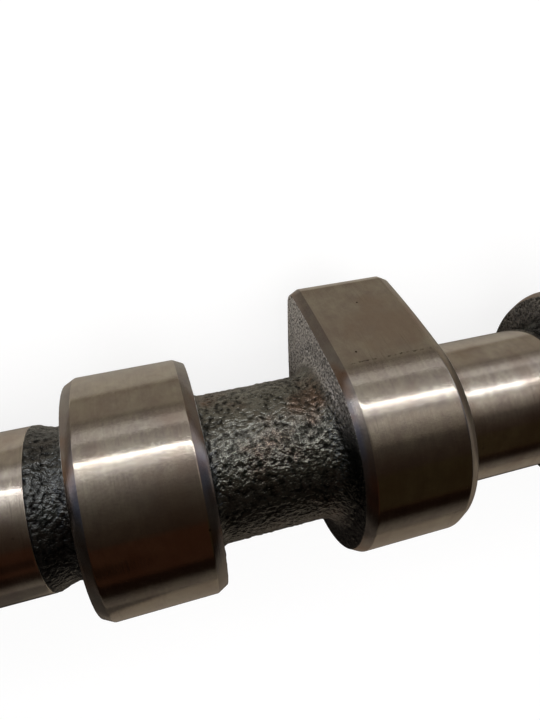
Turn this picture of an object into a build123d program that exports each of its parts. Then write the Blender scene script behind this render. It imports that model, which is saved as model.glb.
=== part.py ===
from build123d import *
import os
from math import radians, sqrt, tan

# A camshaft for an in-line engine with one overhead camshaft, in millimetres.
# It is one iron casting: the necks between the lobes and the lobes' side faces stay as
# cast, and the journals, the lobes' running surfaces and the drive end are machined.
#
# +X runs along the shaft from its drive end to its rear end. The origin is on the
# shaft's axis, in the middle of the front journal. The shaft lies as it comes to rest
# on a flat floor, so +Z is up and the lobes keep the roll that it comes to rest at.

# Layout along the shaft
firing_order = (1, 3, 4, 2)
cylinders = len(firing_order)
bore_pitch = 88.0  # one bearing to the next
journal_length = 22.0  # ground length of a journal
relief_width = 1.0  # groove at a journal's front edge, where the grinding wheel runs out
short_neck = 6.25  # as-cast neck behind a journal
lobe_width = 18.75
long_neck = bore_pitch - relief_width - journal_length - short_neck - 2 * lobe_width

# Journals and necks
journal_radius = 13.0
relief_depth = 0.5
neck_radius = 12.4
collar_radius = 12.6  # as-cast lip beside a journal's ground surface
neck_dip_radius = 12.1  # the waist of the short neck
neck_dip_from_collar = 3.2
short_root = 1.2  # as-cast root at the front face of a cylinder's first lobe
front_root = 1.8  # root at that lobe's rear face, eased in two flats
rear_root = 3.5  # wide root at the front face of a cylinder's second lobe

# Lobe outline: a base circle and a small nose circle, joined by two long flank arcs
base_radius = 19.2
lift = 8.72
nose_radius = 3.5
flank_radius = 200.0
bevel_axial = 1.65  # the rim's bevel, measured along the shaft
bevel_radial = 0.86  # the rim's bevel, measured towards the axis

# Timing, in degrees of camshaft turn, from +Y towards +Z
rest_roll = -41.7  # the nose of the first lobe, as the shaft lies
lobe_angle = 112.0  # from a cylinder's first lobe to its second

# Drive end: oil seal land, pulley seat with its key slot, and a tapped hole
seal_radius = 16.0
seal_length = 14.0
seal_lead = 2.0  # length of the lead-in that lets the seal's lip slide on
seal_lead_depth = 0.8
seat_radius = 11.0
seat_length = 22.0
seat_relief_width = 1.2
seat_relief_depth = 0.4
seat_chamfer = 1.0
key_width = 5.0
key_disc_radius = 8.0
key_depth = 4.0
key_from_end = 10.0  # middle of the key slot, from the shaft's front end
bolt_hole_radius = 5.1  # M12 thread, at its minor diameter
bolt_hole_depth = 30.0
drill_point_angle = 118.0
front_centre_radius = 6.6

# Rear end
rear_chamfer = 1.0
rear_centre_radius = 3.6
rear_pilot_radius = 1.6
rear_pilot_depth = 7.0
centre_angle = 60.0  # included angle of both grinding centres

# Places that follow from the sizes above
bay_start = -journal_length / 2 - relief_width
first_lobe_x = journal_length / 2 + short_neck
second_lobe_x = first_lobe_x + lobe_width + long_neck
seat_end_x = bay_start - seal_length
front_end_x = seat_end_x - seat_length
rear_journal_x = cylinders * bore_pitch
rear_end_x = rear_journal_x + journal_length / 2 + rear_chamfer


def bay_profile(start):
    """Half section of one bay, from a relief groove to the wide root before lobe 2."""
    journal_x = start + relief_width
    collar_x = journal_x + journal_length
    front_face = collar_x + short_neck
    rear_face = front_face + lobe_width
    eased = front_root * (1 - sqrt(0.5))
    return [
        (start, journal_radius - relief_depth),
        (journal_x, journal_radius - relief_depth),
        (journal_x, journal_radius),
        (collar_x, journal_radius),
        (collar_x, collar_radius),
        (collar_x + neck_dip_from_collar, neck_dip_radius),
        (front_face - short_root, neck_radius),
        (front_face, neck_radius + short_root),
        (rear_face, neck_radius + front_root),
        (rear_face + eased, neck_radius + eased),
        (rear_face + front_root, neck_radius),
        (rear_face + long_neck - rear_root, neck_radius),
    ]


def cone_depth(mouth_radius, small_radius, full_angle):
    """Depth of a cone that narrows from one radius to another."""
    return (mouth_radius - small_radius) / tan(radians(full_angle / 2))


# The nose circle's centre, and the flank circle's centre below the lobe's axis
nose_x = base_radius + lift - nose_radius
base_gap = flank_radius - base_radius
nose_gap = flank_radius - nose_radius
flank_x = (base_gap**2 - nose_gap**2 + nose_x**2) / (2 * nose_x)
flank_y = -sqrt(base_gap**2 - flank_x**2)
base_tangent = Vector(-flank_x, -flank_y) * (base_radius / base_gap)
nose_tangent = Vector(nose_x, 0) + Vector(nose_x - flank_x, -flank_y) * (
    nose_radius / nose_gap
)
mirrored_base = Vector(base_tangent.X, -base_tangent.Y)
mirrored_nose = Vector(nose_tangent.X, -nose_tangent.Y)

# One lobe, with its front face at x = 0 and its nose along +Y
with BuildPart() as lobe:
    with BuildSketch(Plane.YZ):
        with BuildLine():
            RadiusArc(nose_tangent, base_tangent, -flank_radius)
            ThreePointArc(base_tangent, (-base_radius, 0), mirrored_base)
            RadiusArc(mirrored_base, mirrored_nose, -flank_radius)
            ThreePointArc(mirrored_nose, (nose_x + nose_radius, 0), nose_tangent)
        make_face()
    extrude(amount=lobe_width)
    for end in (0, -1):
        rim = lobe.faces().sort_by(Axis.X)[end]
        chamfer(rim.edges(), length=bevel_radial, length2=bevel_axial, reference=rim)

# The round core that carries the lobes, turned about the shaft's axis
with BuildPart() as camshaft:
    with BuildSketch(Plane.XY):
        with BuildLine():
            drive_end = [
                (front_end_x, 0),
                (front_end_x, seat_radius - seat_chamfer),
                (front_end_x + seat_chamfer, seat_radius),
                (seat_end_x - seat_relief_width, seat_radius),
                (seat_end_x - seat_relief_width, seat_radius - seat_relief_depth),
                (seat_end_x, seat_radius - seat_relief_depth),
                (seat_end_x, seal_radius - seal_lead_depth),
                (seat_end_x + seal_lead, seal_radius),
                (bay_start, seal_radius),
            ]
            outline = drive_end
            for cylinder in range(cylinders):
                outline += bay_profile(bay_start + cylinder * bore_pitch)
                face_x = second_lobe_x + cylinder * bore_pitch
                root_top = (face_x, neck_radius + rear_root)
                Polyline(outline)
                Bezier(outline[-1], (face_x, neck_radius), root_top)
                outline = [root_top]
            last_start = bay_start + cylinders * bore_pitch
            rear_end = [
                (last_start, journal_radius - relief_depth),
                (last_start + relief_width, journal_radius - relief_depth),
                (last_start + relief_width, journal_radius),
                (rear_end_x - rear_chamfer, journal_radius),
                (rear_end_x, journal_radius - rear_chamfer),
                (rear_end_x, 0),
            ]
            Polyline(outline + rear_end + [(front_end_x, 0)])
        make_face()
    revolve(axis=Axis.X)

    # Two lobes for each cylinder, turned by its place in the firing order
    for cylinder in range(cylinders):
        turn = rest_roll + 360 / cylinders * firing_order.index(cylinder + 1)
        bay_x = cylinder * bore_pitch
        with Locations(Location((bay_x + first_lobe_x, 0, 0), (turn, 0, 0))):
            add(lobe.part)
        with Locations(
            Location((bay_x + second_lobe_x, 0, 0), (turn + lobe_angle, 0, 0))
        ):
            add(lobe.part)

    # Tapped hole and grinding centre in the drive end
    with BuildSketch(Plane.XY):
        with BuildLine():
            mouth = cone_depth(front_centre_radius, bolt_hole_radius, centre_angle)
            point = cone_depth(bolt_hole_radius, 0, drill_point_angle)
            Polyline(
                (front_end_x, 0),
                (front_end_x, front_centre_radius),
                (front_end_x + mouth, bolt_hole_radius),
                (front_end_x + bolt_hole_depth, bolt_hole_radius),
                (front_end_x + bolt_hole_depth + point, 0),
                close=True,
            )
        make_face()
    revolve(axis=Axis.X, mode=Mode.SUBTRACT)

    # Grinding centre in the rear end
    with BuildSketch(Plane.XY):
        with BuildLine():
            mouth = cone_depth(rear_centre_radius, rear_pilot_radius, centre_angle)
            point = cone_depth(rear_pilot_radius, 0, drill_point_angle)
            Polyline(
                (rear_end_x, 0),
                (rear_end_x, rear_centre_radius),
                (rear_end_x - mouth, rear_pilot_radius),
                (rear_end_x - rear_pilot_depth, rear_pilot_radius),
                (rear_end_x - rear_pilot_depth - point, 0),
                close=True,
            )
        make_face()
    revolve(axis=Axis.X, mode=Mode.SUBTRACT)

    # Round-bottomed key slot in the pulley seat, cut by a disc from above
    with BuildSketch(Plane.XZ.offset(-key_width / 2)):
        with Locations(
            (front_end_x + key_from_end, seat_radius - key_depth + key_disc_radius)
        ):
            Circle(key_disc_radius)
    extrude(amount=key_width, mode=Mode.SUBTRACT)

camshaft.part.label = "camshaft"

os.makedirs("parts", exist_ok=True)
export_step(camshaft.part, "parts/camshaft.step")
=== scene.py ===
# %% [markdown]
# # A camshaft, dressed in Blender
#
# A camshaft is one iron casting. The grinder touches only what runs against other
# parts: the journals, the lobes and the drive end. Everything between keeps the dark
# skin of the sand mould. The contrast of these two surfaces is the whole look of the
# part, so each gets its own meshes and its own material.

import math

import bmesh
import bpy
from mathutils import Matrix, Vector, noise


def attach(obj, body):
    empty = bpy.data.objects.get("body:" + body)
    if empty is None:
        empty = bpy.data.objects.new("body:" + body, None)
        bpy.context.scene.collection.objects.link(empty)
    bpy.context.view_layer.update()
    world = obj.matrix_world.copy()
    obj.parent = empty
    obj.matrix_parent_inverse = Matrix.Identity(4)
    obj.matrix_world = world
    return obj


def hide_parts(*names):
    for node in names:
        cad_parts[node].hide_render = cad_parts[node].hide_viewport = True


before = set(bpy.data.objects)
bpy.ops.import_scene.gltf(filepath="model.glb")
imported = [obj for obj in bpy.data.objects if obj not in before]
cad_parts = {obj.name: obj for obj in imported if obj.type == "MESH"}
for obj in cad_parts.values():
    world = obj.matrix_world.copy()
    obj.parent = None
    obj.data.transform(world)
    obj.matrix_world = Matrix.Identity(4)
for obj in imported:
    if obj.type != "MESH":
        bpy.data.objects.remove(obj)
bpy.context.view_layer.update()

# %% Sizes of the shaft, in metres
MM = 0.001
BORE_PITCH = 88 * MM
CYLINDERS = 4
JOURNAL_HALF = 11 * MM
JOURNAL_RADIUS = 13 * MM
RELIEF_WIDTH = 1 * MM
RELIEF_RADIUS = 12.5 * MM
NECK_RADIUS = 12.4 * MM
FIRST_LOBE = 17.25 * MM
SECOND_LOBE = 57.25 * MM
LOBE_WIDTH = 18.75 * MM
BASE_RADIUS = 19.2 * MM
NOSE_RADIUS = 3.5 * MM
FLANK_RADIUS = 200 * MM
NOSE_X = 24.42 * MM
BEVEL_AXIAL = 1.65 * MM
BEVEL_RADIAL = 0.86 * MM

# %% Timing of the lobes
FIRING_ORDER = (1, 3, 4, 2)
REST_ROLL = -41.7
LOBE_ANGLE = 112.0


def lobe_turn(cylinder, second):
    """Roll of a lobe's nose about the shaft, in radians, from +Y towards +Z."""
    turn = REST_ROLL + 360 / CYLINDERS * FIRING_ORDER.index(cylinder + 1)
    return math.radians(turn + (LOBE_ANGLE if second else 0))


noses = [lobe_turn(number // 2, number % 2) for number in range(2 * CYLINDERS)]
print("Nose angles:", [round(math.degrees(nose), 1) for nose in noses])

# %% [markdown]
# ## Camera
#
# A close view from nearly straight above, across the second cylinder's bay. The lens is
# wide for such a short distance, which is why the near lobe looks larger.

# %% Camera
CAMERA_PLACE = Vector((118.95, 36.84, 84.31)) * MM
AXIS = Vector((1, 0, 0))
# Two directions across the shaft, square to each other: mostly up, and mostly back
SHAFT_U = Vector((0, 0.4003, 0.9164))
SHAFT_V = Vector((0, 0.9164, -0.4003))
camera_right = 0.95885 * AXIS + 0.17506 * SHAFT_U - 0.22351 * SHAFT_V
camera_down = -0.18507 * AXIS - 0.21162 * SHAFT_U - 0.95967 * SHAFT_V
camera_forward = 0.21530 * AXIS - 0.96155 * SHAFT_U + 0.17051 * SHAFT_V

camera_data = bpy.data.cameras.new("camera")
camera_data.sensor_fit = "VERTICAL"
camera_data.sensor_height = 36
camera_data.lens = 26.6
camera_data.clip_start = 0.005
camera_data.clip_end = 20
camera = bpy.data.objects.new("camera", camera_data)
bpy.context.scene.collection.objects.link(camera)
turned = Matrix((camera_right, -camera_down, -camera_forward)).transposed()
camera.matrix_world = Matrix.Translation(CAMERA_PLACE) @ turned.to_4x4()
bpy.context.scene.camera = camera
bpy.context.scene.view_settings.view_transform = "Standard"
print("Camera looks along", [round(c, 3) for c in camera_forward])

# %% [markdown]
# ## Node helpers
#
# Every material here is a small graph. These few helpers keep the graphs readable: one
# line for each node, with its inputs named as in the editor.


# %% Node helpers
def add_node(tree, kind, inputs=None, **settings):
    """Adds a node, sets its properties and its inputs. An input may be a socket."""
    node = tree.nodes.new(kind)
    for name, value in settings.items():
        setattr(node, name, value)
    for name, value in (inputs or {}).items():
        socket = node.inputs[name]
        if isinstance(value, bpy.types.NodeSocket):
            tree.links.new(value, socket)
        else:
            socket.default_value = value
    return node


def math_node(tree, operation, first, second=0.0):
    """The result socket of a Math node."""
    node = add_node(tree, "ShaderNodeMath", {0: first, 1: second}, operation=operation)
    return node.outputs[0]


def times(tree, first, second):
    """The product of two values."""
    return math_node(tree, "MULTIPLY", first, second)


def plus(tree, first, second):
    """The sum of two values."""
    return math_node(tree, "ADD", first, second)


def vector_node(tree, operation, first, second=(0, 0, 0)):
    """The outputs of a Vector Math node."""
    inputs = {0: first, 1: second}
    return add_node(tree, "ShaderNodeVectorMath", inputs, operation=operation).outputs


def remap(tree, value, low, high, to_low=0.0, to_high=1.0, smooth=True):
    """A value stretched from one range to another, and held inside it."""
    kind = "SMOOTHSTEP" if smooth else "LINEAR"
    inputs = {
        "Value": value,
        "From Min": low,
        "From Max": high,
        "To Min": to_low,
        "To Max": to_high,
    }
    node = add_node(tree, "ShaderNodeMapRange", inputs, interpolation_type=kind)
    return node.outputs["Result"]


def mix_colour(tree, factor, first, second, blend="MIX"):
    """A Mix node's colour. Its unnamed inputs go by number."""
    inputs = {0: factor, 6: first, 7: second}
    node = add_node(tree, "ShaderNodeMix", inputs, data_type="RGBA", blend_type=blend)
    return node.outputs[2]


def object_place(tree):
    """The Object coordinates, in metres, which are the shaft's own."""
    return add_node(tree, "ShaderNodeTexCoord").outputs["Object"]


def axis_distance(tree):
    """The distance from the shaft's axis."""
    flat = vector_node(tree, "MULTIPLY", object_place(tree), (0, 1, 1))["Vector"]
    return vector_node(tree, "LENGTH", flat)["Value"]


def scaled_noise(tree, scale, detail=2.0, roughness=0.5, stretch=(1, 1, 1), shift=0.0):
    """Noise on Object coordinates, finer along an axis whose stretch is larger."""
    place = {"Vector": object_place(tree), "Location": (shift, 0, 0), "Scale": stretch}
    mapping = add_node(tree, "ShaderNodeMapping", place)
    inputs = {
        "Vector": mapping.outputs["Vector"],
        "Scale": scale,
        "Detail": detail,
        "Roughness": roughness,
    }
    return add_node(tree, "ShaderNodeTexNoise", inputs).outputs["Fac"]


def new_material(name):
    """A material with one Principled BSDF, and the node itself."""
    material = bpy.data.materials.new(name)
    material.use_nodes = True
    material.node_tree.nodes.clear()
    shader = add_node(material.node_tree, "ShaderNodeBsdfPrincipled")
    output = add_node(material.node_tree, "ShaderNodeOutputMaterial")
    material.node_tree.links.new(shader.outputs["BSDF"], output.inputs["Surface"])
    return material, shader


print("Node helpers ready")

# %% [markdown]
# ## The room
#
# Ground steel has almost no colour of its own: it shows the room. A plain grey world
# would leave the cylinders flat, so the world is a room seen by direction round the
# shaft. A bright band stands high behind the shaft and the near side is dark brown. The
# end walls are darker and have a cool window, which the bevels show. The camera itself
# sees white.


# %% Colours of the room
def grey(level, warmth=0.0):
    """A grey of that brightness, warmer as warmth rises."""
    return (level * (1 + warmth), level, level * (1 - warmth), 1)


BLACK_GAP = (0.010, 0.005, 0.003, 1)
RED_BROWN = (0.040, 0.0165, 0.0088, 1)
DARK_BROWN = (0.029, 0.018, 0.012, 1)
MID_BROWN = (0.040, 0.028, 0.020, 1)
OLIVE_BROWN = (0.030, 0.0205, 0.0095, 1)
GREY_BROWN = (0.030, 0.025, 0.020, 1)
DOOR_GAIN = (2.1, 2.1, 2.1, 1)
PALE_WINDOW = grey(0.55, 0.03)
WHITE = (1, 1, 1, 1)

# Degrees from the near horizon, over the top, to the far horizon and down again
ROOM = [
    (-90, grey(0.30, 0.12)),
    (-20, grey(0.27, 0.14)),
    (-8, grey(0.19, 0.16)),
    (4, grey(0.12, 0.18)),
    (13, grey(0.045, 0.22)),
    (16, BLACK_GAP),
    (29, BLACK_GAP),
    (31.5, RED_BROWN),
    (66, RED_BROWN),
    (68.5, DARK_BROWN),
    (82, MID_BROWN),
    (98, grey(0.064, 0.20)),
    (108, grey(0.12, 0.14)),
    (120, grey(0.29, 0.10)),
    (127, grey(0.50, 0.06)),
    (131, grey(1.05, 0.03)),
    (142, grey(0.95, 0.03)),
    (143, grey(0.60, 0.06)),
    (156, grey(0.38, 0.09)),
    (161.5, grey(0.34, 0.09)),
    (163, grey(0.95, 0.04)),
    (165, grey(0.62, 0.06)),
    (172, grey(0.60, 0.06)),
    (174, grey(0.25, 0.14)),
    (270, grey(0.24, 0.15)),
]

# The end walls of the room, by the same degrees
END_WALLS = [
    (-90, grey(0.24, 0.12)),
    (-5, grey(0.20, 0.12)),
    (22, grey(0.020, 0.25)),
    (75, grey(0.028, 0.20)),
    (102, (0.065, 0.078, 0.110, 1)),
    (122, (0.18, 0.20, 0.27, 1)),
    (140, (0.95, 0.98, 1.13, 1)),
    (156, (0.97, 0.98, 1.06, 1)),
    (169, grey(0.26, -0.02)),
    (178, grey(0.20, 0.08)),
    (270, grey(0.24, 0.15)),
]
print("The room has", len(ROOM), "bands, and its end walls have", len(END_WALLS))


# %% World
def sky_ramp(tree, share, stops):
    """A colour ramp over the whole turn, from its stops in degrees."""
    ramp = add_node(tree, "ShaderNodeValToRGB", {"Fac": share})
    elements = ramp.color_ramp.elements
    while len(elements) < len(stops):
        elements.new(0.5)
    for element, (degrees, colour) in zip(elements, stops):
        element.position = (degrees + 90) / 360
        element.color = colour
    return ramp.outputs["Color"]


world = bpy.data.worlds.new("studio")
world.use_nodes = True
bpy.context.scene.world = world
tree = world.node_tree
tree.nodes.clear()
direction = add_node(tree, "ShaderNodeTexCoord").outputs["Generated"]
parts = add_node(tree, "ShaderNodeSeparateXYZ", {"Vector": direction}).outputs
angle = math_node(tree, "ARCTAN2", parts["Z"], times(tree, parts["Y"], -1.0))
below = math_node(tree, "LESS_THAN", angle, math.radians(-90))
wrapped = plus(tree, angle, times(tree, below, math.tau))
share = remap(tree, wrapped, math.radians(-90), math.radians(270), smooth=False)
bands = sky_ramp(tree, share, ROOM)
walls = sky_ramp(tree, share, END_WALLS)
sideways = math_node(tree, "ABSOLUTE", parts["X"])


def patch(reach, low, high):
    """A mask over part of the room: a range of X, and a range of the angle in degrees.

    Each edge is a pair, where the mask is still closed and where it is open."""
    mask = remap(tree, parts["X"], *reach)
    edges = [remap(tree, wrapped, *map(math.radians, edge)) for edge in (low, high)]
    return times(tree, mask, times(tree, edges[0], edges[1]))


# Towards the rear end the brown wall is greener, with a pale door above it
olive_wall = patch((0.08, 0.28), (30, 32), (72, 66))
pale_door = patch((0.16, 0.42), (94, 101), (126, 118))
browned = mix_colour(tree, olive_wall, bands, OLIVE_BROWN)
opened = mix_colour(
    tree, pale_door, browned, mix_colour(tree, 1.0, browned, DOOR_GAIN, "MULTIPLY")
)
walled = mix_colour(tree, remap(tree, sideways, 0.58, 0.80), opened, walls)

# Towards the drive end the room is darker, and a shelf crosses the brown wall
dark_end = patch((-0.60, -0.80), (-30, -12), (40, 25))
dark_shelf = times(tree, patch((-0.085, -0.115), (37, 39), (52, 49)), 0.8)
darkened = mix_colour(tree, dark_end, walled, GREY_BROWN)
shelved = mix_colour(tree, dark_shelf, darkened, BLACK_GAP)

# Straight along the shaft a window lights the two end faces
end_window = remap(tree, sideways, 0.968, 0.988)
room = mix_colour(tree, end_window, shelved, PALE_WINDOW)
rays = add_node(tree, "ShaderNodeLightPath").outputs
seen = mix_colour(tree, rays["Is Camera Ray"], room, WHITE)
background = add_node(tree, "ShaderNodeBackground", {"Color": seen, "Strength": 1.0})
add_node(tree, "ShaderNodeOutputWorld", {"Surface": background.outputs["Background"]})
print("World built with", len(tree.nodes), "nodes")

# %% [markdown]
# ## Lamps
#
# One tube lamp hangs behind the shaft and draws the sharp line along every ground
# surface. Two weaker strips beside it give the line a soft edge. A wide lamp overhead
# lights the floor, and the iron doesn't mirror it.

# %% Lamps
SHAFT_MIDDLE = Vector((0.12, 0, 0))
TUBE_TURN = math.radians(-7.5)
TUBE_LENGTH = 0.9


def area_lamp(name, place, size, power, turn=0.0, glossy=True):
    """A rectangular lamp, long along the shaft, that faces the shaft's middle."""
    data = bpy.data.lights.new(name, "AREA")
    data.shape = "RECTANGLE"
    data.size, data.size_y = size
    data.energy = power
    lamp = bpy.data.objects.new(name, data)
    away = (Vector(place) - SHAFT_MIDDLE).normalized()
    long_side = (AXIS - AXIS.dot(away) * away).normalized()
    long_side = Matrix.Rotation(turn, 3, away) @ long_side
    facing = Matrix((long_side, away.cross(long_side), away)).transposed()
    lamp.matrix_world = Matrix.Translation(Vector(place)) @ facing.to_4x4()
    lamp.visible_glossy = glossy
    bpy.context.scene.collection.objects.link(lamp)


for name, place, width, power in (
    ("tube", (0.12, 0.386, 0.318), 0.008, 0.34),
    ("tube_2", (0.12, 0.366, 0.341), 0.004, 0.08),
    ("tube_3", (0.12, 0.340, 0.367), 0.004, 0.03),
):
    area_lamp(name, place, (TUBE_LENGTH, width), power, TUBE_TURN)
area_lamp("soft_top", (0.12, -0.1, 1.2), (1.6, 1.2), 14, glossy=False)
print("Four lamps")

# %% [markdown]
# ## Floor
#
# The shaft rests on three lobes, so its axis tips a little, and the floor is tipped the
# other way instead, because the shaft stays in the frame. The camera sees the floor
# white, with a faint shadow. The iron sees a workbench: a pale sheet behind the shaft,
# a darker bench beyond it, and shade below the shaft and beside its drive end.

# %% Floor
REST_TILT = math.radians(1.26)
FLOOR_AT_ORIGIN = -19.37 * MM
floor_mesh = bpy.data.meshes.new("floor")
bm = bmesh.new()
bmesh.ops.create_grid(bm, x_segments=1, y_segments=1, size=3)
bmesh.ops.rotate(bm, verts=bm.verts, matrix=Matrix.Rotation(REST_TILT, 3, "Y"))
bmesh.ops.translate(bm, verts=bm.verts, vec=(0, 0, FLOOR_AT_ORIGIN))
bm.to_mesh(floor_mesh)
bm.free()
floor = bpy.data.objects.new("floor", floor_mesh)
bpy.context.scene.collection.objects.link(floor)
print("Floor laid")

# %% Floor material
SHEET = (0.53, 0.49, 0.42, 1)
FAR_BENCH = (0.325, 0.287, 0.232, 1)
NEAR_BENCH = (0.28, 0.238, 0.187, 1)
DRIVE_SIDE = (0.09, 0.078, 0.065, 1)
SHADE = (0.055, 0.047, 0.04, 1)

floor_material = bpy.data.materials.new("pale_floor")
floor_material.use_nodes = True
tree = floor_material.node_tree
tree.nodes.clear()
place = object_place(tree)
axes = add_node(tree, "ShaderNodeSeparateXYZ", {"Vector": place}).outputs
across = axes["Y"]
skewed = plus(tree, across, times(tree, axes["X"], 0.2))

# What the iron sees
drive_side = times(
    tree, remap(tree, axes["X"], 92 * MM, 76 * MM), remap(tree, across, 0, -10 * MM)
)
under = times(
    tree, remap(tree, across, -52 * MM, -46 * MM), remap(tree, across, 6 * MM, 0)
)
beyond = remap(tree, skewed, 85 * MM, 95 * MM)
sheet = times(
    tree, remap(tree, across, 5 * MM, 15 * MM), remap(tree, skewed, 84 * MM, 74 * MM)
)
bench = NEAR_BENCH
for mask, colour in (
    (drive_side, DRIVE_SIDE),
    (under, SHADE),
    (beyond, FAR_BENCH),
    (sheet, SHEET),
):
    bench = mix_colour(tree, mask, bench, colour)
plain = add_node(tree, "ShaderNodeBsdfDiffuse", {"Color": bench})

# What the camera sees: white, with the shadow weakened by a glow of the floor's own
pale = add_node(tree, "ShaderNodeBsdfDiffuse", {"Color": (0.24, 0.24, 0.24, 1)})
glow = add_node(tree, "ShaderNodeEmission", {"Color": WHITE, "Strength": 0.80})
near = add_node(tree, "ShaderNodeAddShader", {0: pale.outputs[0], 1: glow.outputs[0]})
distant = add_node(tree, "ShaderNodeEmission", {"Color": WHITE, "Strength": 1.0})
far_off = remap(tree, vector_node(tree, "LENGTH", place)["Value"], 0.35, 1.1)
inputs = {0: far_off, 1: near.outputs[0], 2: distant.outputs[0]}
seen = add_node(tree, "ShaderNodeMixShader", inputs)

rays = add_node(tree, "ShaderNodeLightPath").outputs
inputs = {0: rays["Is Camera Ray"], 1: plain.outputs[0], 2: seen.outputs[0]}
surface = add_node(tree, "ShaderNodeMixShader", inputs)
add_node(tree, "ShaderNodeOutputMaterial", {"Surface": surface.outputs[0]})
floor_mesh.materials.append(floor_material)
print("Floor material has", len(tree.nodes), "nodes")

# %% [markdown]
# ## Ground iron
#
# A grinding wheel leaves fine lines that run round the shaft. They spread a reflection
# along the shaft and keep it sharp round it, which is what the Anisotropic value does.
# The tangent along the shaft comes from the normal, so no UV map is needed.

# %% Group: grinding lines
FLOAT = "NodeSocketFloat"
lines_group = bpy.data.node_groups.new("grinding_lines", "ShaderNodeTree")
lines_group.interface.new_socket("Depth", in_out="INPUT", socket_type=FLOAT)
tree = lines_group
depth = tree.nodes.new("NodeGroupInput").outputs["Depth"]

broad = scaled_noise(tree, 300, 3, 0.65, (10, 0.12, 0.12), 3.1)
fine = scaled_noise(tree, 800, 2, 0.6, (9, 0.2, 0.2))
mixed = mix_colour(tree, 0.5, broad, fine)
grain = math_node(tree, "SUBTRACT", scaled_noise(tree, 2400, 2, 0.6, shift=2.6), 0.5)
centred = math_node(tree, "SUBTRACT", mixed, 0.5)
uneven = plus(tree, centred, times(tree, grain, 0.65))
mottle = scaled_noise(tree, 420, 6, 0.72, (1, 0.75, 0.75), 9.4)
haze = scaled_noise(tree, 110, 4, 0.6, (1.2, 1, 1), 7.7)
tint = scaled_noise(tree, 95, 3, 0.6, (1, 1, 1), 6.1)

# Scratches come in patches
long_marks = scaled_noise(tree, 420, 2, 0.5, (7, 0.5, 0.5), 1.3)
patches = scaled_noise(tree, 90, 2, 0.5, (1, 1, 1), 4.2)
marks = remap(tree, long_marks, 0.60, 0.70)
scratched = times(tree, marks, remap(tree, patches, 0.45, 0.62))

# Pits: a few single specks, and a dotted line where a lobe's flank begins
inputs = {"Vector": object_place(tree), "Scale": 260.0}
cells = add_node(tree, "ShaderNodeTexVoronoi", inputs)
speck = remap(tree, cells.outputs["Distance"], 0.060, 0.03)
dots = remap(tree, scaled_noise(tree, 1500, 2, 0.7, shift=8.3), 0.46, 0.60)
line = add_node(tree, "ShaderNodeAttribute", attribute_name="flank_start").outputs["Fac"]
dotted = times(tree, remap(tree, line, 0.78, 0.98), dots)
pits = math_node(tree, "MAXIMUM", speck, times(tree, dotted, 0.7))

results = {
    "Lines": remap(tree, mixed, 0.32, 0.68, smooth=False),
    "Height": times(tree, uneven, depth),
    "Haze": remap(tree, haze, 0.35, 0.68),
    "Scratches": scratched,
    "Mottle": remap(tree, mottle, 0.36, 0.64, smooth=False),
    "Tint": remap(tree, tint, 0.46, 0.66),
    "Pits": pits,
}
for title in results:
    lines_group.interface.new_socket(title, in_out="OUTPUT", socket_type=FLOAT)
add_node(tree, "NodeGroupOutput", results)
print("Grinding lines group made")

# %% Ground iron
WARM_STAIN = (0.36, 0.285, 0.235, 1)
RUST_STAIN = (0.23, 0.14, 0.09, 1)
PIT_BLACK = (0.025, 0.020, 0.015, 1)
VIOLET = (0.86, 0.81, 0.87)


def tinted(colour, factor):
    """A colour made lighter or darker."""
    return tuple(part * factor for part in colour[:3]) + (1,)


def ground_material(
    name, colour, roughness, stain, depth, lines, pitting=1.0, stained=0.55, metallic=1.0
):
    """Ground iron: warm grey metal with lines round the shaft and a little stain."""
    material, shader = new_material(name)
    tree = material.node_tree
    marks = add_node(tree, "ShaderNodeGroup", node_tree=lines_group)
    marks.inputs["Depth"].default_value = depth
    marks = marks.outputs

    violet = tuple(part * share for part, share in zip(colour, VIOLET)) + (1,)
    base = mix_colour(tree, marks["Mottle"], violet, tinted(colour, 1.12))
    darkest, lightest = 1 - 0.2 * lines, 1 + 0.12 * lines
    streak = remap(tree, marks["Lines"], 0, 1, darkest, lightest, smooth=False)
    base = mix_colour(tree, 1.0, base, streak, "MULTIPLY")
    base = mix_colour(tree, times(tree, marks["Haze"], 0.25), base, stain)
    base = mix_colour(tree, times(tree, marks["Tint"], stained), base, stain)
    scratches = times(tree, marks["Scratches"], 0.25)
    base = mix_colour(tree, scratches, base, tinted(colour, 0.45))
    base = mix_colour(tree, times(tree, marks["Pits"], pitting), base, PIT_BLACK)
    tree.links.new(base, shader.inputs["Base Color"])

    sharpest, dullest = roughness - 0.045 * lines, roughness + 0.07 * lines
    lined = remap(tree, marks["Lines"], 0, 1, sharpest, dullest, smooth=False)
    clouds = plus(tree, marks["Haze"], marks["Mottle"])
    rough = plus(tree, lined, times(tree, clouds, 0.012))
    tree.links.new(rough, shader.inputs["Roughness"])

    inputs = {"Height": marks["Height"], "Strength": 0.5, "Distance": 0.02 * MM}
    bump = add_node(tree, "ShaderNodeBump", inputs)
    tree.links.new(bump.outputs["Normal"], shader.inputs["Normal"])
    shader.inputs["Metallic"].default_value = metallic
    shader.inputs["Anisotropic"].default_value = 0.75
    normal = add_node(tree, "ShaderNodeNewGeometry").outputs["Normal"]
    tangent = vector_node(tree, "CROSS_PRODUCT", AXIS, normal)["Vector"]
    tree.links.new(tangent, shader.inputs["Tangent"])
    return material


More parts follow.
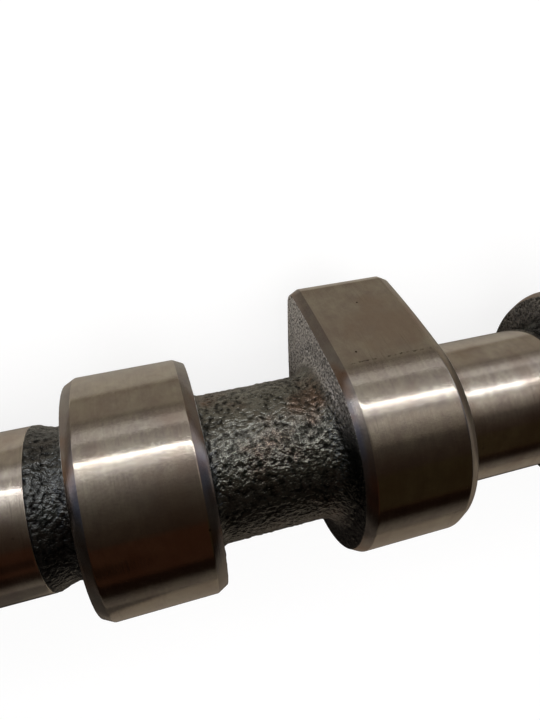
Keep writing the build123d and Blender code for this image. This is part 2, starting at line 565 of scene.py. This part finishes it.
LOBE_IRON = ground_material(
    "ground_lobe", (0.435, 0.414, 0.358, 1), 0.085, WARM_STAIN, depth=1.25, lines=0.35
)
JOURNAL_IRON = ground_material(
    "ground_journal",
    (0.55, 0.525, 0.465, 1),
    0.12,
    WARM_STAIN,
    depth=0.5,
    lines=0.35,
    pitting=0.3,
)
BEVEL_IRON = ground_material(
    "ground_bevel",
    (0.25, 0.243, 0.232, 1),
    0.16,
    RUST_STAIN,
    depth=1.5,
    lines=0.3,
    pitting=0.5,
    stained=1.0,
)
DULL_BEVEL = ground_material(
    "dull_bevel",
    (0.29, 0.25, 0.185, 1),
    0.28,
    RUST_STAIN,
    depth=1.5,
    lines=0.3,
    pitting=0.5,
    stained=0.6,
    metallic=0.8,
)
print("Ground iron in four finishes")


# %% Turned faces
def turned_material(name, colour, roughness):
    """A faced end: fine rings round the shaft's axis."""
    material, shader = new_material(name)
    tree = material.node_tree
    rings_along = add_node(tree, "ShaderNodeCombineXYZ", {"X": axis_distance(tree)})
    inputs = {"Vector": rings_along.outputs["Vector"], "Scale": 3500, "Detail": 3}
    rings = add_node(tree, "ShaderNodeTexNoise", inputs).outputs["Fac"]
    inputs = {"Height": rings, "Strength": 0.4, "Distance": 0.03 * MM}
    bump = add_node(tree, "ShaderNodeBump", inputs)
    stain = remap(tree, scaled_noise(tree, 160, 4, 0.6, shift=3.3), 0.45, 0.7)
    base = mix_colour(tree, stain, colour, tinted(colour, 0.6))
    tree.links.new(base, shader.inputs["Base Color"])
    rough = remap(tree, stain, 0, 1, roughness, roughness + 0.15, smooth=False)
    tree.links.new(rough, shader.inputs["Roughness"])
    tree.links.new(bump.outputs["Normal"], shader.inputs["Normal"])
    shader.inputs["Metallic"].default_value = 1.0
    return material


TURNED_IRON = turned_material("turned_face", (0.52, 0.50, 0.46, 1), 0.30)
print("Turned faces made")

# %% [markdown]
# ## Cast iron
#
# The skin left by the sand is dark, lumpy and wet with oil. The lumps are real, pushed
# into the mesh, and the material adds the grains that are too small for it. The oil has
# drained off the side faces that look up, and dust lies on them. Their pale colour is
# partly that dust and partly a painted sheen, and painted shade darkens the roots and
# the near side.

# %% Cast iron
# Pale dust, which also stands in for a painted sheen
PALE_DUST_AND_SHEEN = (0.60, 0.57, 0.545, 1)


def cast_material(name, pits, peaks, rust):
    """Oily as-cast skin: black pits and lumps that glint, with pale side faces.

    The side faces' pale colour is dust and painted sheen, and the roots and the near
    side are darkened with painted shade.
    """
    material, shader = new_material(name)
    tree = material.node_tree
    lumps = scaled_noise(tree, 1250, 2, 0.5)
    grit = scaled_noise(tree, 3000, 2, 0.6, shift=1.7)
    wear = scaled_noise(tree, 330, 4, 0.7, shift=2.2)
    height = plus(tree, lumps, times(tree, grit, 0.3))
    raised = plus(tree, height, times(tree, wear, 0.6))
    inputs = {"Height": height, "Strength": 1.0, "Distance": 0.38 * MM}
    bump = add_node(tree, "ShaderNodeBump", inputs)
    tree.links.new(bump.outputs["Normal"], shader.inputs["Normal"])

    # Where the skin is dry and dusty, with a painted sheen: out on the side faces, at the
    # back, and less in the rear bays
    axes = add_node(tree, "ShaderNodeSeparateXYZ", {"Vector": object_place(tree)}).outputs
    radius = axis_distance(tree)
    towards_back = remap(tree, axes["Y"], 3 * MM, 13 * MM)
    outer = remap(tree, radius, 13.1 * MM, 14.9 * MM)
    nearby = remap(tree, axes["X"], 160 * MM, 190 * MM, 1.0, 0.4)
    dust_and_sheen = times(tree, times(tree, outer, towards_back), nearby)

    # The oily skin, black again in the roots and darker on the near side: painted shade
    rusty = remap(tree, scaled_noise(tree, 100, 4, 0.6, shift=2.7), 0.48, 0.68)
    shiny = mix_colour(tree, rusty, peaks, rust)
    oiled = mix_colour(tree, remap(tree, raised, 0.70, 1.10), pits, shiny)
    # Painted shade: darker from the roots out, where the lobes keep light off
    root_shade = remap(tree, radius, 12.7 * MM, 14.2 * MM, 0.0, 0.75)
    oiled = mix_colour(tree, root_shade, oiled, pits)
    # Painted shade: darker towards the near side
    near_side_shade = remap(tree, axes["Y"], 4 * MM, -3 * MM, 1.0, 0.38)
    oiled = mix_colour(tree, 1.0, oiled, near_side_shade, "MULTIPLY")

    # The dusty skin with its painted sheen, and open pores
    pores = remap(tree, scaled_noise(tree, 2300, 2, 0.6, shift=3.9), 0.40, 0.56)
    dust_and_sheen_colour = mix_colour(tree, pores, tinted(PALE_DUST_AND_SHEEN, 0.22), PALE_DUST_AND_SHEEN)
    dust_and_sheen_colour = mix_colour(tree, remap(tree, raised, 0.70, 0.76), pits, dust_and_sheen_colour)
    # The side faces take the pale colour: dust and painted sheen
    tree.links.new(mix_colour(tree, dust_and_sheen, oiled, dust_and_sheen_colour), shader.inputs["Base Color"])
    metallic = remap(tree, dust_and_sheen, 0, 1, 0.97, 0.45, smooth=False)
    tree.links.new(metallic, shader.inputs["Metallic"])
    rough = remap(tree, raised, 0.75, 1.10, 0.21, 0.08, smooth=False)
    dull = plus(tree, rough, times(tree, dust_and_sheen, 0.28))
    tree.links.new(dull, shader.inputs["Roughness"])
    return material


NECK_SKIN = cast_material(
    "cast_neck",
    pits=(0.019, 0.0185, 0.0155, 1),
    peaks=(0.245, 0.248, 0.225, 1),
    rust=(0.20, 0.145, 0.115, 1),
)
COLLAR_SKIN = cast_material(
    "cast_short_neck",
    pits=(0.010, 0.010, 0.010, 1),
    peaks=(0.13, 0.138, 0.14, 1),
    rust=(0.085, 0.075, 0.068, 1),
)
print("Cast iron in two shades")

# %% [markdown]
# ## Lobes
#
# A lobe's outline is five arcs that run into each other: the nose, two long flanks and
# the base circle. A single point spun about each arc's centre in turn draws it. The face
# inside is pushed out to the lobe's width, and each end is drawn in to make the bevel.

# %% Lobe outline
base_gap = FLANK_RADIUS - BASE_RADIUS
nose_gap = FLANK_RADIUS - NOSE_RADIUS
flank_x = (base_gap**2 - nose_gap**2 + NOSE_X**2) / (2 * NOSE_X)
flank_y = -math.sqrt(base_gap**2 - flank_x**2)
nose_end = math.atan2(-flank_y, NOSE_X - flank_x)
flank_end = math.atan2(-flank_y, -flank_x)
# Each arc: centre along the nose, centre across it, angle, and steps
LOBE_ARCS = [
    (NOSE_X, 0, nose_end, 26),
    (flank_x, flank_y, flank_end - nose_end, 14),
    (0, 0, 2 * (math.pi - flank_end), 110),
    (flank_x, -flank_y, flank_end - nose_end, 14),
    (NOSE_X, 0, nose_end, 26),
]


def draw_outline(bm, x):
    """Draws a lobe's outline at one place along the shaft, nose along +Y."""
    tip = bm.verts.new((x, NOSE_X + NOSE_RADIUS, 0))
    for along_nose, across, angle, steps in LOBE_ARCS:
        spun = bmesh.ops.spin(
            bm,
            geom=[tip],
            cent=(x, along_nose, across),
            axis=AXIS,
            dvec=(0, 0, 0),
            angle=angle,
            steps=steps,
        )
        tip = spun["geom_last"][0]
    bmesh.ops.remove_doubles(bm, verts=bm.verts, dist=0.001 * MM)
    return bmesh.ops.contextual_create(bm, geom=bm.edges)["faces"][0]


def lobe_reach(angle, inset):
    """Distance from the axis to the outline, at an angle from the nose."""
    angle = abs(math.remainder(angle, math.tau))
    tangent = NOSE_RADIUS * math.sin(nose_end)
    nose_limit = math.atan2(tangent, NOSE_X + NOSE_RADIUS * math.cos(nose_end))
    if angle >= flank_end:
        return BASE_RADIUS - inset
    if angle <= nose_limit:
        along, across, radius = NOSE_X, 0, NOSE_RADIUS - inset
    else:
        along, across, radius = flank_x, flank_y, FLANK_RADIUS - inset
    projected = along * math.cos(angle) + across * math.sin(angle)
    square = projected**2 - along**2 - across**2 + radius**2
    return projected + math.sqrt(square)


print("Lobe reaches", round(lobe_reach(0, 0) / MM, 2), "mm at its nose")

# %% Lobe body
RIM_SOFT = 0.14 * MM  # rounding between the running surface and a bevel
END_SOFT = 0.08 * MM  # rounding between a bevel and the side face
END_INSET = 0.25 * MM  # a lobe's end sinks inside its rim, under the cast skin
END_SINK = 0.4 * MM
LOOP_PLACE = 0.4 * MM  # a loop this far inside each rim keeps the shading even
SLACK = 0.01 * MM


def soften_planes(bm, places, offset, segments):
    """Rounds the edges that lie in planes across the shaft."""
    rims = [
        edge
        for edge in bm.edges
        if any(all(abs(vert.co.x - x) < SLACK for vert in edge.verts) for x in places)
    ]
    bmesh.ops.bevel(
        bm,
        geom=rims,
        offset=offset,
        segments=segments,
        profile=0.5,
        affect="EDGES",
        material=-1,
    )


def lobe_body(start, front, rear):
    """A closed lobe with bevelled rims, from its front face at start, nose along +Y."""
    bm = bmesh.new()
    face = draw_outline(bm, front)
    pushed = bmesh.ops.extrude_face_region(bm, geom=[face])
    moved = [part for part in pushed["geom"] if isinstance(part, bmesh.types.BMVert)]
    bmesh.ops.translate(bm, verts=moved, vec=(rear - front, 0, 0))
    bmesh.ops.recalc_face_normals(bm, faces=bm.faces)
    ends = [face for face in bm.faces if len(face.verts) > 4]
    for thickness, depth in ((BEVEL_RADIAL, BEVEL_AXIAL), (END_INSET, -END_SINK)):
        bmesh.ops.inset_region(
            bm,
            faces=ends,
            thickness=thickness,
            depth=depth,
            use_even_offset=True,
            use_boundary=True,
        )
    soften_planes(bm, (front, rear), RIM_SOFT, 3)
    soften_planes(bm, (start, start + LOBE_WIDTH), END_SOFT, 2)
    bm.normal_update()
    for x in (front + LOOP_PLACE, rear - LOOP_PLACE):
        everything = bm.verts[:] + bm.edges[:] + bm.faces[:]
        bmesh.ops.bisect_plane(bm, geom=everything, plane_co=(x, 0, 0), plane_no=AXIS)
    return bm


print("Lobe helpers ready")

# %% Lobes
RUNNING, FRONT_BEVEL, END, REAR_BEVEL = range(4)
RIM_SLACK = 0.05 * MM


def finish_piece(bm, name, materials):
    """Writes a mesh to its object, and ties it to the shaft."""
    bmesh.ops.recalc_face_normals(bm, faces=bm.faces)
    for face in bm.faces:
        face.smooth = True
    mesh = bpy.data.meshes.new(name)
    bm.to_mesh(mesh)
    bm.free()
    for material in materials:
        mesh.materials.append(material)
    piece = bpy.data.objects.new(name, mesh)
    bpy.context.scene.collection.objects.link(piece)
    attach(piece, "root")
    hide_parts("camshaft")
    return piece


def make_lobe(name, start, turn, rear_bevel):
    """One ground lobe, from its front face at start, with its nose rolled by turn."""
    front = start + BEVEL_AXIAL
    rear = start + LOBE_WIDTH - BEVEL_AXIAL
    bm = lobe_body(start, front, rear)
    for face in bm.faces:
        middle = face.calc_center_median().x
        if abs(face.normal.x) > 0.95:
            face.material_index = END
        elif front - RIM_SLACK < middle < rear + RIM_SLACK:
            face.material_index = RUNNING
        else:
            face.material_index = REAR_BEVEL if middle > rear else FRONT_BEVEL
    starts = bm.verts.layers.float.new("flank_start")
    for vert in bm.verts:
        angle = abs(math.atan2(vert.co.z, vert.co.y))
        vert[starts] = 1.0 if abs(angle - flank_end) < 0.01 else 0.0
    bmesh.ops.rotate(bm, verts=bm.verts, matrix=Matrix.Rotation(turn, 3, "X"))
    return finish_piece(bm, name, [LOBE_IRON, BEVEL_IRON, NECK_SKIN, rear_bevel])


for cylinder in range(CYLINDERS):
    bay = cylinder * BORE_PITCH
    for letter, place, finish in (
        ("a", FIRST_LOBE, BEVEL_IRON),
        ("b", SECOND_LOBE, DULL_BEVEL),
    ):
        turn = lobe_turn(cylinder, letter == "b")
        piece = make_lobe(f"lobe_{cylinder + 1}{letter}", bay + place, turn, finish)
print("Eight lobes, each with", len(piece.data.polygons), "faces")

# %% [markdown]
# ## Turned pieces
#
# Journals and the drive end are plain bodies of revolution: a half section in the
# plane of the shaft, softened at its corners, and spun once round.

# %% Turned bodies
TURNED_STEPS = 256
SOFT = 0.15 * MM
GUARD = 0.6 * MM  # a ring this far from a soft corner keeps the shading even


def draw_section(points):
    """A new mesh that holds a half section in the plane of the shaft."""
    bm = bmesh.new()
    verts = [bm.verts.new((x, radius, 0)) for x, radius in points]
    for first, second in zip(verts, verts[1:]):
        bm.edges.new((first, second))
    return bm, verts


def spin_round(bm, steps):
    """Spins all that a mesh holds once round the shaft's axis."""
    bmesh.ops.spin(
        bm,
        geom=bm.verts[:] + bm.edges[:],
        cent=(0, 0, 0),
        axis=AXIS,
        dvec=(0, 0, 0),
        angle=math.tau,
        steps=steps,
        use_merge=True,
    )
    bmesh.ops.remove_doubles(bm, verts=bm.verts, dist=0.0005 * MM)


def turned_piece(name, points, softened, ground_from=-math.inf):
    """Spins a half section. Softened corners are named by number.

    Faces that look along the shaft are turned, and so is all in front of ground_from."""
    bm, verts = draw_section(points)
    bmesh.ops.bevel(
        bm,
        geom=[verts[number] for number in softened],
        offset=SOFT,
        segments=3,
        profile=0.5,
        affect="VERTICES",
        material=-1,
    )
    spin_round(bm, TURNED_STEPS)
    bmesh.ops.recalc_face_normals(bm, faces=bm.faces)
    bm.normal_update()
    for face in bm.faces:
        in_front = face.calc_center_median().x < ground_from
        face.material_index = 1 if in_front or abs(face.normal.x) > 0.3 else 0
    piece = finish_piece(bm, name, [JOURNAL_IRON, TURNED_IRON])
    return piece


def cone_depth(mouth, small, full_angle):
    """Depth of a cone that narrows from one radius to another."""
    return (mouth - small) / math.tan(math.radians(full_angle / 2))


print("Turning helpers ready")

# %% Journals
RELIEF_BURIED = 1.5 * MM  # how far a journal's front runs on inside its neighbour
REAR_CHAMFER = 1 * MM
REAR_CENTRE = 3.6 * MM
REAR_PILOT = 1.6 * MM
PILOT_DEPTH = 7 * MM
CENTRE_ANGLE = 60
DRILL_ANGLE = 118

for number in range(CYLINDERS + 1):
    middle = number * BORE_PITCH
    front = middle - JOURNAL_HALF
    rear = middle + JOURNAL_HALF
    section = [
        (front - RELIEF_WIDTH - RELIEF_BURIED, 0),
        (front - RELIEF_WIDTH - RELIEF_BURIED, RELIEF_RADIUS),
        (front, RELIEF_RADIUS),
        (front, JOURNAL_RADIUS),
        (front + GUARD, JOURNAL_RADIUS),
        (rear - GUARD, JOURNAL_RADIUS),
        (rear, JOURNAL_RADIUS),
    ]
    softened = [3, 6]
    if number < CYLINDERS:
        section.append((rear, 0))
    else:
        rear_end = rear + REAR_CHAMFER
        drilled_to = rear_end - PILOT_DEPTH
        section += [
            (rear_end, JOURNAL_RADIUS - REAR_CHAMFER),
            (rear_end, REAR_CENTRE),
            (rear_end - cone_depth(REAR_CENTRE, REAR_PILOT, CENTRE_ANGLE), REAR_PILOT),
            (drilled_to, REAR_PILOT),
            (drilled_to - cone_depth(REAR_PILOT, 0, DRILL_ANGLE), 0),
        ]
        softened.append(7)
    turned_piece(f"journal_{number + 1}", section, softened, front + SLACK)
print("Five journals")

# %% [markdown]
# ## Drive end
#
# In front of the first journal come the land that the oil seal runs on and the seat of
# the belt pulley, with a half-round key slot and a tapped hole for the pulley's bolt.
# The body is spun like a journal, and a disc cuts the slot as the real cutter does.

# %% Drive end
SEAL_RADIUS = 16 * MM
SEAL_LENGTH = 14 * MM
SEAL_LEAD = 2 * MM
SEAL_LEAD_DEPTH = 0.8 * MM
SEAT_RADIUS = 11 * MM
SEAT_LENGTH = 22 * MM
SEAT_CHAMFER = 1 * MM
SEAT_RELIEF_WIDTH = 1.2 * MM
SEAT_RELIEF_DEPTH = 0.4 * MM
FRONT_CENTRE = 6.6 * MM
HOLE_RADIUS = 5.1 * MM
HOLE_DEPTH = 30 * MM
THREAD_RADIUS = 5.95 * MM
THREAD_PITCH = 1.5 * MM

seal_rear = -JOURNAL_HALF - RELIEF_WIDTH
seat_rear = seal_rear - SEAL_LENGTH
seat_relief = seat_rear - SEAT_RELIEF_WIDTH
front_end = seat_rear - SEAT_LENGTH
hole_end = front_end + HOLE_DEPTH
section = [
    (hole_end + cone_depth(HOLE_RADIUS, 0, DRILL_ANGLE), 0),
    (hole_end, HOLE_RADIUS),
    (hole_end - 3 * MM, HOLE_RADIUS),
    (hole_end - 3.5 * MM, THREAD_RADIUS),
    (front_end + 1.2 * MM, THREAD_RADIUS),
    (front_end, FRONT_CENTRE),
    (front_end, SEAT_RADIUS - SEAT_CHAMFER),
    (front_end + SEAT_CHAMFER, SEAT_RADIUS),
    (front_end + SEAT_CHAMFER + GUARD, SEAT_RADIUS),
    (seat_relief - GUARD, SEAT_RADIUS),
    (seat_relief, SEAT_RADIUS),
    (seat_relief, SEAT_RADIUS - SEAT_RELIEF_DEPTH),
    (seat_rear, SEAT_RADIUS - SEAT_RELIEF_DEPTH),
    (seat_rear, SEAL_RADIUS - SEAL_LEAD_DEPTH),
    (seat_rear + SEAL_LEAD, SEAL_RADIUS),
    (seat_rear + SEAL_LEAD + GUARD, SEAL_RADIUS),
    (seal_rear - GUARD, SEAL_RADIUS),
    (seal_rear, SEAL_RADIUS),
    (seal_rear, 0),
]
drive_end = turned_piece("drive_end", section, (5, 6, 7, 10, 13, 14, 17))
print("Drive end from", round(front_end / MM, 1), "to", round(seal_rear / MM, 1), "mm")

# %% Key slot
KEY_WIDTH = 5 * MM
KEY_DISC = 8 * MM
KEY_DEPTH = 4 * MM
KEY_PLACE = front_end + 10 * MM

bm = bmesh.new()
bmesh.ops.create_cone(
    bm, cap_ends=True, segments=96, radius1=KEY_DISC, radius2=KEY_DISC, depth=KEY_WIDTH
)
bmesh.ops.rotate(bm, verts=bm.verts, matrix=Matrix.Rotation(math.pi / 2, 3, "X"))
disc_height = SEAT_RADIUS - KEY_DEPTH + KEY_DISC
bmesh.ops.translate(bm, verts=bm.verts, vec=(KEY_PLACE, 0, disc_height))
cutter_mesh = bpy.data.meshes.new("key_cutter")
bm.to_mesh(cutter_mesh)
bm.free()
cutter_mesh.materials.append(TURNED_IRON)
cutter = bpy.data.objects.new("key_cutter", cutter_mesh)
bpy.context.scene.collection.objects.link(cutter)
cut = drive_end.modifiers.new("key_slot", "BOOLEAN")
cut.operation = "DIFFERENCE"
cut.solver = "EXACT"
cut.object = cutter
ready = drive_end.evaluated_get(bpy.context.evaluated_depsgraph_get())
slotted = bpy.data.meshes.new_from_object(ready)
drive_end.modifiers.clear()
drive_end.data = slotted
bpy.data.objects.remove(cutter)
bpy.data.meshes.remove(cutter_mesh)
print("Key slot cut:", len(slotted.polygons), "faces")

# %% Thread
THREAD_TURNS = 16
STEPS_A_TURN = 48
THREAD_START = front_end + 1.6 * MM
THREAD_ROOT = THREAD_RADIUS + 0.15 * MM  # the ridge stands a little inside the iron
# The ridge's section: places along the shaft in pitches, and radii
RIDGE = [
    (-0.16, THREAD_ROOT),
    (0.46, HOLE_RADIUS),
    (0.54, HOLE_RADIUS),
    (1.16, THREAD_ROOT),
]

bm = bmesh.new()
corners = []
for share, radius in RIDGE:
    corners.append(bm.verts.new((THREAD_START + share * THREAD_PITCH, radius, 0)))
bmesh.ops.spin(
    bm,
    geom=[bm.faces.new(corners)],
    cent=(0, 0, 0),
    axis=AXIS,
    dvec=(THREAD_PITCH / STEPS_A_TURN, 0, 0),
    angle=math.tau * THREAD_TURNS,
    steps=STEPS_A_TURN * THREAD_TURNS,
    use_merge=False,
)
piece = finish_piece(bm, "bolt_thread", [TURNED_IRON])
print("Thread with", THREAD_TURNS, "turns")

# %% [markdown]
# ## Cast necks
#
# A neck and the rough side faces of the lobes that it joins are one skin. Its half
# section is spun with many steps, the rings on a side face are drawn out to the lobe's
# own outline, and noise then lifts and sinks every point along its normal. Its two
# closed ends lie inside the iron of its neighbours.

# %% Cast skin
SKIN_STEPS = 320
SKIN_STEP = 0.26 * MM
FACE_RINGS = 30
HIDDEN = 0.9 * MM  # how far a skin runs on inside its neighbour
LOBE_INNER = BEVEL_RADIAL + 0.01 * MM
RIM_TURN = 0.03 * MM
RIM_FADE = 12  # the skin is smooth over the last twelfth of a side face


def skin_height(place):
    """Height of the as-cast skin at a place: pebbles, finer grains and a slow swell."""
    point = place / MM
    pebbles = abs(noise.noise(point * 0.95)) - 0.2
    grains = abs(noise.noise(point * 1.6 + Vector((7, 3, 1)))) - 0.2
    swell = noise.noise(point * 0.35 + Vector((1, 9, 4)))
    return (0.20 * pebbles + 0.12 * grains + 0.05 * swell) * MM


def stretch_of(start, end):
    """Half-section points from one to the other, a skin step apart, without the last."""
    start, end = Vector(start), Vector(end)
    count = max(1, round((end - start).length / SKIN_STEP))
    return [tuple(start.lerp(end, number / count)) for number in range(count)]


def root_arc(face, away, root):
    """Quarter circle from the neck to a lobe's side face."""
    count = max(3, round(root * math.pi / 2 / SKIN_STEP))
    points = []
    for number in range(count + 1):
        angle = math.pi / 2 * number / count
        x = face + away * root * (1 - math.sin(angle))
        points.append((x, NECK_RADIUS + root * (1 - math.cos(angle))))
    return points


def side_face(face, away, root):
    """From inside the lobe, over its rim and down its side face to the root."""
    rim = BASE_RADIUS - LOBE_INNER
    foot = NECK_RADIUS + root
    rings = [(face - away * RIM_TURN, rim), (face, rim - RIM_TURN)]
    for number in range(1, FACE_RINGS):
        radius = rim + (foot - rim) * number / FACE_RINGS
        rings.append((face, radius))
    return [(face - away * HIDDEN, 0), (face - away * HIDDEN, rim)] + rings


def face_share(place, face, away, root):
    """How far out on a lobe's side face a place is: 0 at its root, 1 at its rim."""
    depth = (face - place.x) * away
    radius = math.hypot(place.y, place.z)
    if not -SLACK < depth < HIDDEN + SLACK or radius < 0.5 * MM:
        return 0
    foot = NECK_RADIUS + root
    return (radius - foot) / (BASE_RADIUS - LOBE_INNER - foot)


def cast_skin(name, section, faces, skin):
    """Spins a half section, draws its side faces out to the lobes and roughens it.

    faces gives each side face's place, direction, root and its lobe's roll."""
    bm, _ = draw_section(section)
    spin_round(bm, SKIN_STEPS)
    bmesh.ops.recalc_face_normals(bm, faces=bm.faces)
    bm.normal_update()
    lift = {}
    for vert in bm.verts:
        place = vert.co.copy()
        lift[vert] = vert.normal * skin_height(place)
        for face, away, root, turn in faces:
            share = face_share(place, face, away, root)
            if share <= 0:
                continue
            foot = NECK_RADIUS + root
            angle = math.atan2(place.z, place.y) - turn
            drawn = foot + (lobe_reach(angle, LOBE_INNER) - foot) * share
            vert.co.yz = place.yz * drawn / place.yz.length
            fade = min(1, (1 - share) * RIM_FADE)
            lift[vert] = Vector((away * skin_height(vert.co) * fade, 0, 0))
    for vert, move in lift.items():
        vert.co += move
    piece = finish_piece(bm, name, [skin])
    return piece


print("Skin helpers ready")

# %% Necks
SHORT_ROOT = 1.2 * MM
FRONT_ROOT = 1.8 * MM
REAR_ROOT = 3.5 * MM
RELIEF_ROOT = 0.2 * MM
RELIEF_DEPTH = 0.3 * MM
COLLAR_RADIUS = 12.95 * MM
COLLAR_LAP = 0.2 * MM
DIP_RADIUS = 12.05 * MM
DIP_PLACE = 0.72  # the waist, as a share of the way from the journal to the lobe


def collar_curve(start, end):
    """The rounded swell beside a journal, which sinks to a waist before the lobe."""
    count = round((end - start) / SKIN_STEP)
    points = []
    for number in range(count):
        share = number / count
        sink = math.sin(min(1, share / DIP_PLACE) * math.pi / 2) ** 2
        rise = max(0, share - DIP_PLACE) / (1 - DIP_PLACE)
        radius = COLLAR_RADIUS + (DIP_RADIUS - COLLAR_RADIUS) * sink
        radius += (NECK_RADIUS - DIP_RADIUS) * rise
        points.append((start + (end - start) * share, radius))
    return points


for cylinder in range(CYLINDERS):
    bay = cylinder * BORE_PITCH
    front_turn = lobe_turn(cylinder, False)
    rear_turn = lobe_turn(cylinder, True)

    # From the journal to the first lobe
    collar = bay + JOURNAL_HALF
    face = bay + FIRST_LOBE
    lip = (collar - COLLAR_LAP, DIP_RADIUS)
    section = [(collar - HIDDEN, 0), (collar - HIDDEN, DIP_RADIUS)]
    section += stretch_of(lip, (collar + 0.02 * MM, COLLAR_RADIUS))
    section += collar_curve(collar, face - SHORT_ROOT)
    section += root_arc(face, -1, SHORT_ROOT)
    section += side_face(face, -1, SHORT_ROOT)[::-1]
    faces = [(face, -1, SHORT_ROOT, front_turn)]
    cast_skin(f"short_neck_{cylinder + 1}", section, faces, COLLAR_SKIN)

    # From the first lobe to the second
    start = bay + FIRST_LOBE + LOBE_WIDTH
    end = bay + SECOND_LOBE
    section = side_face(start, 1, FRONT_ROOT) + root_arc(start, 1, FRONT_ROOT)[::-1]
    neck_start, neck_end = start + FRONT_ROOT, end - REAR_ROOT
    section += stretch_of((neck_start, NECK_RADIUS), (neck_end, NECK_RADIUS))
    section += root_arc(end, -1, REAR_ROOT)
    section += side_face(end, -1, REAR_ROOT)[::-1]
    faces = [(start, 1, FRONT_ROOT, front_turn), (end, -1, REAR_ROOT, rear_turn)]
    piece = cast_skin(f"long_neck_{cylinder + 1}", section, faces, NECK_SKIN)
    print(piece.name, len(piece.data.polygons), "faces")

    # The second lobe's rear face, as far as the next journal's relief
    face = end + LOBE_WIDTH
    relief = face + RELIEF_DEPTH
    section = side_face(face, 1, RELIEF_ROOT)
    section += [(face, NECK_RADIUS + RELIEF_ROOT), (relief, NECK_RADIUS - RELIEF_ROOT)]
    section.append((relief, 0))
    faces = [(face, 1, RELIEF_ROOT, rear_turn)]
    cast_skin(f"rear_face_{cylinder + 1}", section, faces, NECK_SKIN)
